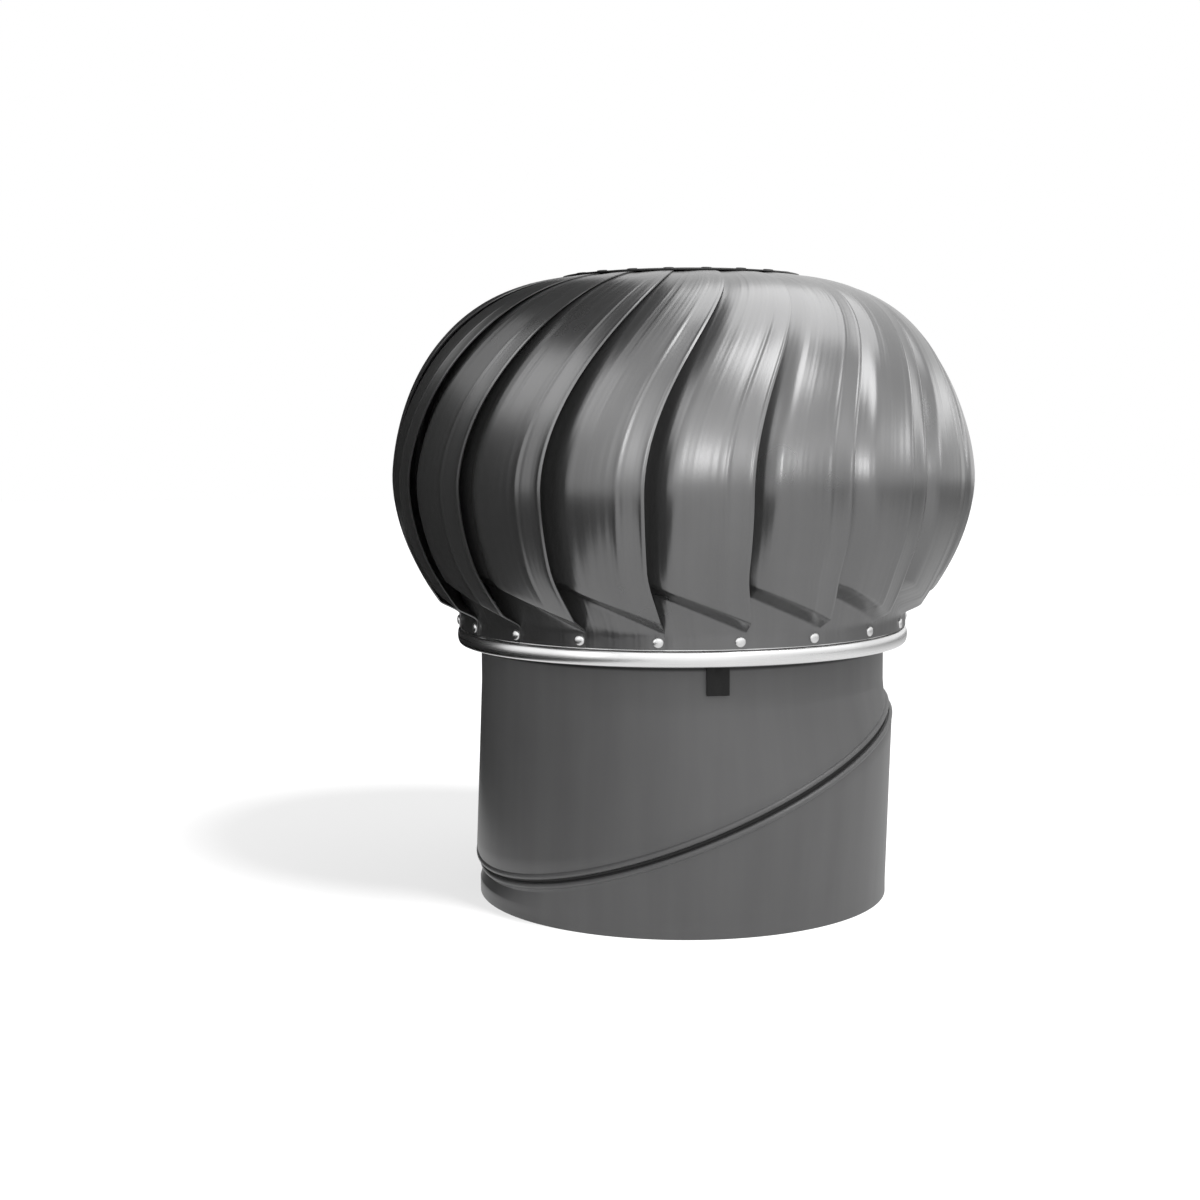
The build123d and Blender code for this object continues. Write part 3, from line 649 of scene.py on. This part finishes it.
def domeRadius(height):
    if height >= vanes["bellyHeight"]:
        rise = (height - vanes["bellyHeight"]) / vanes["crownHeight"]
        share = 1 - rise ** vanes["crownFullness"]
        return vanes["bellyRadius"] * share ** (1 / vanes["crownFlatness"])
    fall = (vanes["bellyHeight"] - height) / (vanes["bellyHeight"] - vanes["footHeight"])
    return vanes["bellyRadius"] - vanes["bellyDrop"] * fall ** vanes["bellyFullness"]


def domeHeight(radius):
    share = 1 - (radius / vanes["bellyRadius"]) ** vanes["crownFlatness"]
    return vanes["bellyHeight"] + vanes["crownHeight"] * share ** (1 / vanes["crownFullness"])


def domeLean(height):
    return (domeRadius(height + 0.0004) - domeRadius(height - 0.0004)) / 0.0008


def gapAt(height):
    share = (height - vanes["gapStart"]) / (vanes["gapEnd"] - vanes["gapStart"])
    return vanes["gapDepth"] * math.sin(math.pi * min(1, max(0, share)) ** vanes["gapSkew"])


def lipAngle(height):
    settled = ease((height - vanes["footHeight"]) / vanes["lipSettle"])
    lead = math.degrees(vanes["rivetEdge"] / ring["radius"])
    swept = max(0, (height - vanes["sweepStart"]) / vanes["sweepSpan"]) ** 2
    return lead * (1 - settled) - vanes["lipLag"] * settled + vanes["lipSweep"] * swept


def foldHeight(across):
    return vanes["footHeight"] + vanes["footFlat"] + vanes["foldRise"] * min(1, across)


def bump(place, middle, width):
    share = abs(place - middle) / (width / 2)
    return math.cos(math.pi / 2 * min(1, share)) ** 2


def lipRelief(across, height):
    # Hem, hollow and rib of the lip; they fade out where the gap has closed.
    fade = min(1, gapAt(height) / (vanes["reliefFade"] * vanes["gapDepth"]))
    inside = min(1, across / vanes["lipWidth"])
    relief = vanes["hemRise"] * bump(across, vanes["hemWidth"] / 2, vanes["hemWidth"])
    relief += vanes["creaseRise"] * bump(across, vanes["lipWidth"], vanes["creaseWidth"])
    return fade * (relief - vanes["troughDepth"] * math.sin(math.pi * inside))


def acrossSteps():
    # Places of the columns: close together over the hem and the rib.
    ribStart = vanes["lipWidth"] - vanes["creaseWidth"] / 2
    ribEnd = vanes["lipWidth"] + vanes["creaseWidth"] / 2
    spans = (
        (0, vanes["hemWidth"], vanes["hemCells"]),
        (vanes["hemWidth"], ribStart, vanes["lipCells"]),
        (ribStart, ribEnd, vanes["creaseCells"]),
        (ribEnd, vanes["reach"], vanes["sheetCells"]),
    )
    steps = [start + (end - start) * i / cells for start, end, cells in spans for i in range(cells)]
    return steps + [vanes["reach"]]


def vaneRadius(across, height):
    tucked = ease((across - vanes["lipWidth"]) / (1 - vanes["lipWidth"] - 0.1))
    under = ease((across - vanes["tuckStart"]) / (1 - vanes["tuckStart"]))
    under += vanes["tuckSlope"] * max(0, across - 1)
    dip = vanes["lipFall"] * max(0, 1 - across / vanes["lipWidth"])
    depth = stackStep * tucked + gapAt(height) * (under + dip)
    belly = domeRadius(height) - depth * math.hypot(1, domeLean(height)) + lipRelief(across, height)
    foot = ring["radius"] + vanes["footGap"] + vanes["sheet"] + stackStep * (1 - tucked)
    foot += vanes["footSlope"] * max(0, height - ring["top"])
    folded = ease((height - foldHeight(across)) / vanes["foldBlend"])
    return foot + (belly - foot) * folded


def vanePoint(across, height):
    angle = lipAngle(height) - across * vanePitch
    return outwards(angle) * vaneRadius(across, height) + Vector((0, 0, height))


def vaneRow(across):
    # Heights down one strip of the vane: rows follow the fold above the foot.
    fold = foldHeight(across)
    blendTop = fold + vanes["foldBlend"]
    low = fold - vanes["bottom"]
    rows = [vanes["bottom"] + low * i / vanes["footCells"] for i in range(vanes["footCells"])]
    rows += [fold + (blendTop - fold) * i / vanes["foldCells"] for i in range(vanes["foldCells"])]
    span = vanes["top"] - blendTop
    # The rows draw together towards the crown, where the sheet turns over.
    quarter = [math.pi / 2 * i / vanes["bellyCells"] for i in range(vanes["bellyCells"] + 1)]
    rows += [blendTop + span * math.sin(turn) for turn in quarter]
    return rows


def makeVanes():
    steps = acrossSteps()
    strips = [[vanePoint(across, height) for height in vaneRow(across)] for across in steps]
    tall = len(strips[0])
    points = [point for strip in strips for point in strip]
    faces = []
    for strip in range(len(strips) - 1):
        for row in range(tall - 1):
            a = strip * tall + row
            faces.append((a, a + tall, a + tall + 1, a + 1))
    vane = meshObject("vane", points, faces)
    layer = vane.data.uv_layers.new(name="vaneMap")
    chord = math.radians(vanePitch) * vanes["bellyRadius"]
    places = [(across * chord, height) for across in steps for height in vaneRow(across)]
    for loop in vane.data.loops:
        layer.data[loop.index].uv = places[loop.vertex_index]
    turnOutwards(vane)
    addModifier(vane, "SOLIDIFY", thickness=vanes["sheet"], offset=-1.0, use_even_offset=True)
    smooth(vane, 180.0)
    bake(vane)
    smooth(vane, 50.0)
    half = (vanes["count"] + 1) // 2
    halves = (("vanesFirstHalf", 0, half), ("vanesSecondHalf", half, vanes["count"]))
    for name, first, last in halves:
        sheets = bpy.data.objects.new(name, vane.data.copy())
        bpy.context.scene.collection.objects.link(sheets)
        start = vanes["firstRivet"] + first * vanePitch
        copyRound(sheets, last - first, start, vanePitch, "vane_sheet")
        fit(sheets, "rotor", "vane_sheet", *(f"vane_{i + 1:02d}" for i in range(first, last)))
    bpy.data.objects.remove(vane)


makeVanes()


# Vane ring: an aluminium band with a rounded bead below the feet.
def makeRing():
    outer = ring["radius"]
    bend = ring["bend"]
    beadHalf = (ring["beadTop"] - ring["bottom"]) / 2
    beadMiddle = ring["bottom"] + beadHalf
    line = [(outer - ring["ledge"], ring["top"])]
    line += arcPoints((outer - bend, ring["top"] - bend), bend, 90, 0, 6)
    line += [(outer, ring["beadTop"] + ring["neckRise"])]
    for step in range(17):
        turn = math.pi * step / 16
        swell = math.sin(turn) ** ring["beadFullness"]
        line.append((outer + ring["bead"] * swell, beadMiddle + beadHalf * math.cos(turn)))
    line += [(outer - 0.0008, ring["bottom"] + 0.0002)]
    item = turnedPiece("vaneRingBand", line, 240, closed=False)
    turnOutwards(item)
    addModifier(item, "SOLIDIFY", thickness=ring["sheet"], offset=-1.0, use_even_offset=True)
    smooth(bake(item), 50.0)
    fit(item, "rotor", "mill_aluminium", "vane_ring")


makeRing()


# Rivets: domed heads with a thin skirt, on the feet and on the top plate.
rivet = {
    "radius": 0.002,
    "headRadius": 0.0036,
    "headHeight": 0.0017,
    "flatHead": 0.0007,       # on the top plate
    "skirt": 0.00035,
    "tailRadius": 0.0028,
    "tailHeight": 0.0012,
    "tailTaper": 0.7,
    "segments": 24,
}
plate = {
    "radius": 0.086,
    "flat": 0.068,
    "gap": 0.0004,
    "sheet": 0.001,
    "rivetCircle": 0.079,
}


def rivetProfile(grip, headHeight):
    line = [(0.0, headHeight)]
    for step in range(1, 8):
        turn = math.pi / 2 * step / 8
        radius = rivet["headRadius"] * math.sin(turn)
        line.append((radius, rivet["skirt"] + (headHeight - rivet["skirt"]) * math.cos(turn)))
    tail = -grip - rivet["tailHeight"]
    line += [(rivet["headRadius"], rivet["skirt"]), (rivet["headRadius"], 0.0)]
    line += [(rivet["radius"], 0.0), (rivet["radius"], -grip), (rivet["tailRadius"], -grip)]
    line += [(rivet["tailRadius"] * rivet["tailTaper"], tail), (0.0, tail)]
    return line


def makeRivet(name, grip, headHeight, place):
    # A rivet turned about Z, then laid with its head on the given frame.
    item = turnedPiece(name, rivetProfile(grip, headHeight), rivet["segments"], closed=False)
    item.data.transform(place)
    smooth(item, 40.0)
    return item


def frameOf(origin, normal):
    side = Vector((0, 1, 0))
    turn = Matrix((side.cross(normal), side, normal)).transposed().to_4x4()
    return Matrix.Translation(origin) @ turn


def makeRivets():
    ringInside = ring["radius"] - ring["sheet"]
    footFace = ring["radius"] + vanes["footGap"] + vanes["sheet"] + stackStep
    place = frameOf(Vector((footFace, 0, vanes["footHeight"])), Vector((1, 0, 0)))
    feet = makeRivet("footRivetHeads", footFace - ringInside + 0.0001, rivet["headHeight"], place)
    copyRound(feet, vanes["count"], vanes["firstRivet"], vanePitch, "rivet_aluminium")
    fit(feet, "rotor", "rivet_aluminium", "foot_rivets")

    underside = domeHeight(plate["flat"]) + 2 * plate["gap"]
    drop = underside - domeHeight(plate["radius"]) - plate["gap"]
    tilt = drop / (plate["radius"] - plate["flat"])
    height = underside - tilt * (plate["rivetCircle"] - plate["flat"])
    height += plate["sheet"] * math.hypot(1, tilt)
    place = frameOf(Vector((plate["rivetCircle"], 0, height)), Vector((tilt, 0, 1)).normalized())
    grip = plate["sheet"] + 2 * plate["gap"] + 2 * vanes["sheet"] + 2 * vanes["stackGap"]
    heads = makeRivet("topRivetHeads", grip, rivet["flatHead"], place)
    lead = lipAngle(domeHeight(plate["rivetCircle"]))
    lead -= math.degrees(vanes["rivetEdge"] / plate["rivetCircle"])
    copyRound(heads, vanes["count"], vanes["firstRivet"] + lead, vanePitch, "grey_sheet")
    fit(heads, "rotor", "grey_sheet", "top_rivets")


makeRivets()


# Pressed, turned and moulded pieces: the CAD surface with its edges broken.
edges = (
    # name, body, slot, width of the broken edge, CAD nodes
    ("rimClips", "neck", "black_plastic", 0.0006, ("rim_clip_1", "rim_clip_2", "rim_clip_3")),
    ("clipBolts", "neck", "zinc_steel", 0.0004, ("clip_bolts",)),
    ("strutBolts", "neck", "zinc_steel", 0.0004, ("strut_bolts",)),
    ("armBracket", "neck", "zinc_steel", 0.0003, ("upper_bracket",)),
    ("strutBracket", "neck", "zinc_steel", 0.0003, ("lower_bracket",)),
    ("shaftNuts", "neck", "zinc_steel", 0.0005, ("shaft_nuts", "journal_nut")),
    ("shaftWashers", "neck", "zinc_steel", 0.0002, ("shaft_washers",)),
    ("shaftCirclips", "neck", "black_steel", 0.0002, ("shaft_circlips",)),
    ("plateCover", "rotor", "grey_sheet", 0.0003, ("top_plate",)),
    ("dustCover", "rotor", "black_plastic", 0.0004, ("dust_cap",)),
    ("bearingHousings", "rotor", "cast_aluminium", 0.0004, ("upper_housing", "lower_housing")),
    ("housingCirclips", "rotor", "black_steel", 0.0002, ("upper_circlip", "lower_circlip")),
    ("braceArms", "rotor", "mill_aluminium", 0.0003, ("rotor_brace",)),
    ("braceBolts", "rotor", "zinc_steel", 0.0004, ("brace_bolts",)),
    ("housingRivets", "rotor", "rivet_aluminium", 0.0002, ("housing_rivets",)),
)


def breakEdges(name, body, slot, width, nodes):
    mesh = bpy.data.meshes.new(name)
    work = bmesh.new()
    for node in nodes:
        work.from_mesh(frame["nodes"][node].data)
    bmesh.ops.remove_doubles(work, verts=work.verts, dist=1e-6)
    level = math.radians(0.5)
    bmesh.ops.dissolve_limit(work, angle_limit=level, verts=work.verts, edges=work.edges)
    work.to_mesh(mesh)
    work.free()
    item = bpy.data.objects.new(name, mesh)
    bpy.context.scene.collection.objects.link(item)
    mesh.materials.clear()
    sharp = math.radians(40)
    addModifier(item, "BEVEL", width=width, segments=2, limit_method="ANGLE", angle_limit=sharp)
    smooth(bake(item), 32.0)
    fit(item, body, slot, *nodes)


for edge in edges:
    breakEdges(*edge)


# Studio: white floor and backdrop, soft panels all round, a dark tent behind and to the left.
studio = {
    "floorSize": 12.0,
    "floorGlow": 0.74,
    "floorGloss": 0.92,       # floor as glossy surfaces see it
    "floorFar": 0.25,         # the same far behind, on the right
    "floorFade": 2.6,
    "fadeBack": 0.8,          # how much of the fall-off goes backwards
    "fadeStart": 0.2,
    "floorShade": 0.85,
    "bounceShade": 0.35,      # floor as other surfaces see it in diffuse light
    "fill": 0.34,
}
panels = (
    # name, place, aim, width, height, radiance: these light everything
    ("key", (0.90, -0.90, 2.02), (0, 0, 0.25), 0.90, 0.90, 5.3),
    ("front", (0.30, -2.3, 1.45), (0.1, 0, 0.9), 3.0, 1.6, 0.7),
    ("wall", (1.85, -0.70, 1.25), (0, 0, 0.95), 2.2, 1.45, 0.38),
    ("overhead", (0.70, 0.60, 2.40), (0.2, 0.1, 0.4), 2.0, 2.0, 2.2),
)
headPanels = (
    # for the head alone: bands and spots that its sheets mirror
    ("band", (0.35, -2.1, 1.00), (0.1, 0, 0.6), 1.8, 0.42, 1.0),
    ("bandRight", (1.9, -0.85, 0.98), (0, 0, 0.6), 1.6, 0.40, 0.7),
    ("bandBack", (1.9, 1.0, 0.90), (0, 0, 0.6), 1.8, 0.32, 2.0),
    ("skyLeft", (-1.45, 0.25, 1.48), (0, 0, 0.35), 1.7, 0.90, 0.8),
    ("skyLeftFront", (-1.20, -0.70, 1.52), (0, 0, 0.35), 1.3, 0.90, 1.4),
    ("spotFront", (0.24, -2.1, 0.95), (0, 0, 0.32), 0.34, 0.26, 11.0),
    ("spotRight", (1.36, -1.78, 0.91), (0, 0, 0.32), 0.26, 0.26, 5.0),
    ("spotBack", (2.1, 0.15, 0.78), (0, 0, 0.32), 0.30, 0.26, 5.0),
)
# The throat's left side and the ring have their own light too.
sidePanel = ("side", (-1.9, -0.35, 0.45), (0, 0, 0.2), 2.4, 1.6, 0.48)
ringPanels = (
    ("ringSide", (-1.9, -0.75, 0.45), (0, 0, 0.2), 2.4, 1.6, 1.2),
    ("ringFront", (-0.15, -1.75, 0.14), (0, 0, 0.19), 2.0, 0.50, 0.35),
)
wash = {
    "place": (1.42, -1.12, 2.0),
    "strength": 8.0,
    "spread": 16.0,
}
throatLit = ("lowerThroatShell", "upperThroatShell")
ringLit = ("vaneRingBand", "footRivetHeads")
headLit = ("vanesFirstHalf", "vanesSecondHalf", "topRivetHeads", "plateCover")
flags = {
    "radius": 2.4,
    "start": 98.0,            # from behind the head, round by the left, to the front left
    "end": 217.0,
    "tall": 84.0,
    "shade": 0.004,
    "cardNear": -0.30,        # low card beside the throat, seen in gloss alone
    "cardFar": -2.4,
    "cardHalf": 2.0,
    "cardHeight": 0.004,
}


def rays(r, *names):
    found = [r.make("ShaderNodeLightPath", output=f"Is {name} Ray") for name in names]
    total = found[0]
    for one in found[1:]:
        total = total + one
    return total


def makeFloor():
    half = studio["floorSize"] / 2
    corners = [(-half, -half, 0), (half, -half, 0), (half, half, 0), (-half, half, 0)]
    floor = meshObject("floor", corners, [(0, 1, 2, 3)])
    r = Recipe("floor paper")
    parts = r.tree.nodes.new("ShaderNodeSeparateXYZ")
    r.tree.links.new(r.place().socket, parts.inputs[0])
    x, y = Wire(r, parts.outputs[0]), Wire(r, parts.outputs[1])
    away = (x + studio["fadeBack"] * y) * (1 / studio["floorFade"])
    gloss = r.ramp(away, (studio["fadeStart"], studio["floorGloss"]), (1.0, studio["floorFar"]))
    inGloss = rays(r, "Glossy")
    seen = rays(r, "Camera", "Transmission") * studio["floorGlow"] + inGloss
    colour = r.tint(rays(r, "Diffuse"), (studio["floorShade"],) * 3, (studio["bounceShade"],) * 3)
    paper = r.make("ShaderNodeBsdfDiffuse", sockets={"Color": colour})
    strength = inGloss * (gloss - 1.0) + 1.0
    glow = r.make("ShaderNodeEmission", sockets={"Color": (1, 1, 1, 1), "Strength": strength})
    mixed = r.make("ShaderNodeMixShader", sockets={0: seen, 1: paper, 2: glow})
    r.make("ShaderNodeOutputMaterial", sockets={"Surface": mixed})
    floor.data.materials.append(r.owner)


def makeWorld():
    world = bpy.data.worlds.new("studio")
    bpy.context.scene.world = world
    r = Recipe("studio", world)
    white = (1, 1, 1, 1)
    soft = r.make("ShaderNodeBackground", sockets={"Color": white, "Strength": studio["fill"]})
    plain = r.make("ShaderNodeBackground", sockets={"Color": white, "Strength": 1.0})
    seen = rays(r, "Camera", "Glossy", "Transmission")
    mixed = r.make("ShaderNodeMixShader", sockets={0: seen, 1: soft, 2: plain})
    r.make("ShaderNodeOutputWorld", sockets={"Surface": mixed})


def lightOnly(lamp, *names):
    group = bpy.data.collections.new(lamp.name + " receivers")
    for name in names:
        group.objects.link(bpy.data.objects[name])
    lamp.light_linking.receiver_collection = group


def makeWash():
    # Even light on the floor alone: it whitens the paper and leaves the part's soft shadow.
    light = bpy.data.lights.new("wash", "SUN")
    light.energy = wash["strength"]
    light.angle = math.radians(wash["spread"])
    item = bpy.data.objects.new("wash", light)
    item.rotation_euler = Vector(wash["place"]).to_track_quat("Z", "Y").to_euler()
    bpy.context.scene.collection.objects.link(item)
    lightOnly(item, "floor")


def makePanel(name, place, aim, width, height, radiance):
    light = bpy.data.lights.new(name, "AREA")
    light.shape = "RECTANGLE"
    light.size = width
    light.size_y = height
    light.energy = radiance * math.pi * width * height
    item = bpy.data.objects.new(name, light)
    item.location = place
    item.rotation_euler = (Vector(aim) - Vector(place)).to_track_quat("-Z", "Y").to_euler()
    bpy.context.scene.collection.objects.link(item)
    return item


def makeFlag(flag):
    r = Recipe(flag.name)
    shade = flags["shade"]
    cloth = r.make("ShaderNodeBsdfDiffuse", sockets={"Color": (shade, shade, shade, 1)})
    r.make("ShaderNodeOutputMaterial", sockets={"Surface": cloth})
    flag.data.materials.append(r.owner)
    flag.visible_camera = False
    return flag


def makeFlags():
    across, up = 24, 12
    points = []
    for row in range(up + 1):
        lift = math.radians(flags["tall"] * row / up)
        for column in range(across + 1):
            place = outwards(flags["start"] + (flags["end"] - flags["start"]) * column / across)
            place = place * math.cos(lift) + Vector((0, 0, math.sin(lift)))
            points.append(place * flags["radius"])
    wide = across + 1
    faces = [(a, a + 1, a + 1 + wide, a + wide) for a in range(up * wide) if a % wide < across]
    tent = makeFlag(meshObject("tent", points, faces))
    tent.visible_shadow = False
    near, far = flags["cardNear"], flags["cardFar"]
    half, height = flags["cardHalf"], flags["cardHeight"]
    corners = [(far, -half, height), (near, -half, height), (near, half, height), (far, half, height)]
    card = makeFlag(meshObject("card", corners, [(0, 1, 2, 3)]))
    card.visible_diffuse = False
    card.visible_shadow = False


makeFloor()
makeWash()
makeWorld()
for panel in panels:
    makePanel(*panel)
for panel in headPanels:
    lightOnly(makePanel(*panel), *headLit)
lightOnly(makePanel(*sidePanel), *throatLit)
for panel in ringPanels:
    lightOnly(makePanel(*panel), *ringLit)
makeFlags()
print("studio made")


view = {
    "distance": 1.377,
    "height": 0.355,
    "pitch": 5.82,
    "yaw": 2.504,
    "roll": -0.38,
    "focal": 1868 / 1200,     # focal length over the frame's width
}


def makeCamera():
    yaw, pitch, roll = (math.radians(view[name]) for name in ("yaw", "pitch", "roll"))
    ahead = Vector((-math.sin(yaw), math.cos(yaw), 0)) * math.cos(pitch)
    ahead.z = -math.sin(pitch)
    right = Vector((math.cos(yaw), math.sin(yaw), 0))
    up = right.cross(ahead)
    tippedRight = right * math.cos(roll) + up * math.sin(roll)
    tippedUp = up * math.cos(roll) - right * math.sin(roll)
    lens = bpy.data.cameras.new("camera")
    lens.sensor_fit = "HORIZONTAL"
    lens.angle = 2 * math.atan(0.5 / view["focal"])
    lens.clip_end = 50.0
    item = bpy.data.objects.new("camera", lens)
    turn = Matrix((tippedRight, tippedUp, -ahead)).transposed().to_4x4()
    item.matrix_world = Matrix.Translation((0, -view["distance"], view["height"])) @ turn
    bpy.context.scene.collection.objects.link(item)
    bpy.context.scene.camera = item


makeCamera()
bpy.context.scene.view_settings.view_transform = "Standard"
